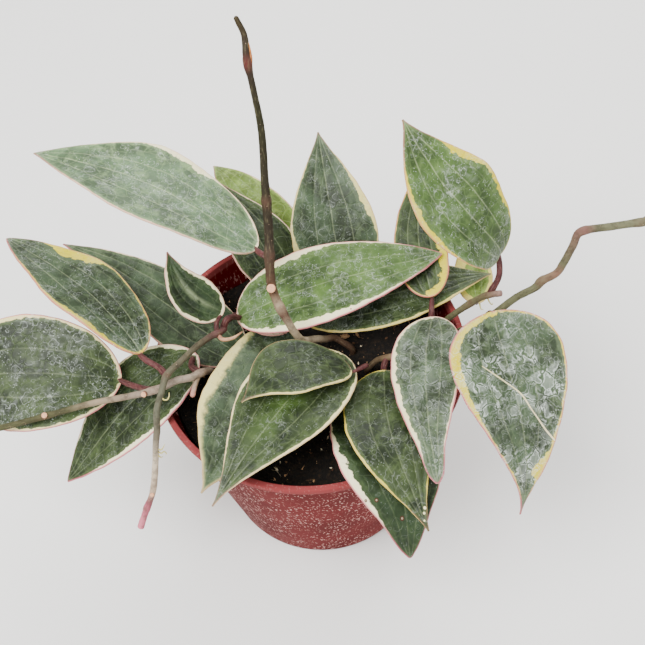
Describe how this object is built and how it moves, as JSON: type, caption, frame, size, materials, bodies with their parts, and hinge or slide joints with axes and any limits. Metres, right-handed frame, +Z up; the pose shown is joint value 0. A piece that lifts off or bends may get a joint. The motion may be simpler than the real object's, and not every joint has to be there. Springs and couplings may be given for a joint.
{
  "type": "potted climbing plant",
  "caption": "Variegated climbing houseplant with thick cream-edged leaves on woody stems, growing in a tapered plastic nursery pot.",
  "frame": {"origin": "centre of the pot's flat base, on the surface that the pot stands on", "axes": "+Z up through the pot, -Y towards the front of the picture, +X to its right"},
  "size_m": [0.3294, 0.191, 0.2232],
  "materials": {
    "pot": "thin brick red polypropylene with a slight sheen, a lighter coral rim and fine pale streaks",
    "soil": "almost black damp peat with bark chips",
    "stem": "dull, olive brown on young shoots and beige on old wood",
    "leaf": "satin, green centre with cream, yellow and pink margins"
  },
  "bodies": {
    "root": {"pot": "pot", "soil": "soil", "stem_tall_shoot": "stem", "stem_hanging": "stem", "stem_left_runner": "stem", "stem_right_short": "stem", "stem_right_runner": "stem", "stem_back_stub": "stem", "stem_back_right_stub": "stem", "stem_middle_stub": "stem", "stem_front_left_stub": "stem", "stem_front_right_stub": "stem", "leaf_back_left_long": "leaf", "leaf_back_left_under": "leaf", "leaf_back_left_far": "leaf", "leaf_back_upright": "leaf", "leaf_middle_right": "leaf", "leaf_middle_bud": "leaf", "leaf_right_low": "leaf", "leaf_right_upright": "leaf", "leaf_right_tall": "leaf", "leaf_right_small": "leaf", "leaf_left_young": "leaf", "leaf_left_back": "leaf", "leaf_left_raised": "leaf", "leaf_left_far": "leaf", "leaf_left_front": "leaf", "leaf_front_left_low": "leaf", "leaf_front_left": "leaf", "leaf_front_left_top": "leaf", "leaf_front_right": "leaf", "leaf_front_right_low": "leaf", "leaf_right_front": "leaf", "leaf_right_outer": "leaf"}
  },
  "joints": []
}
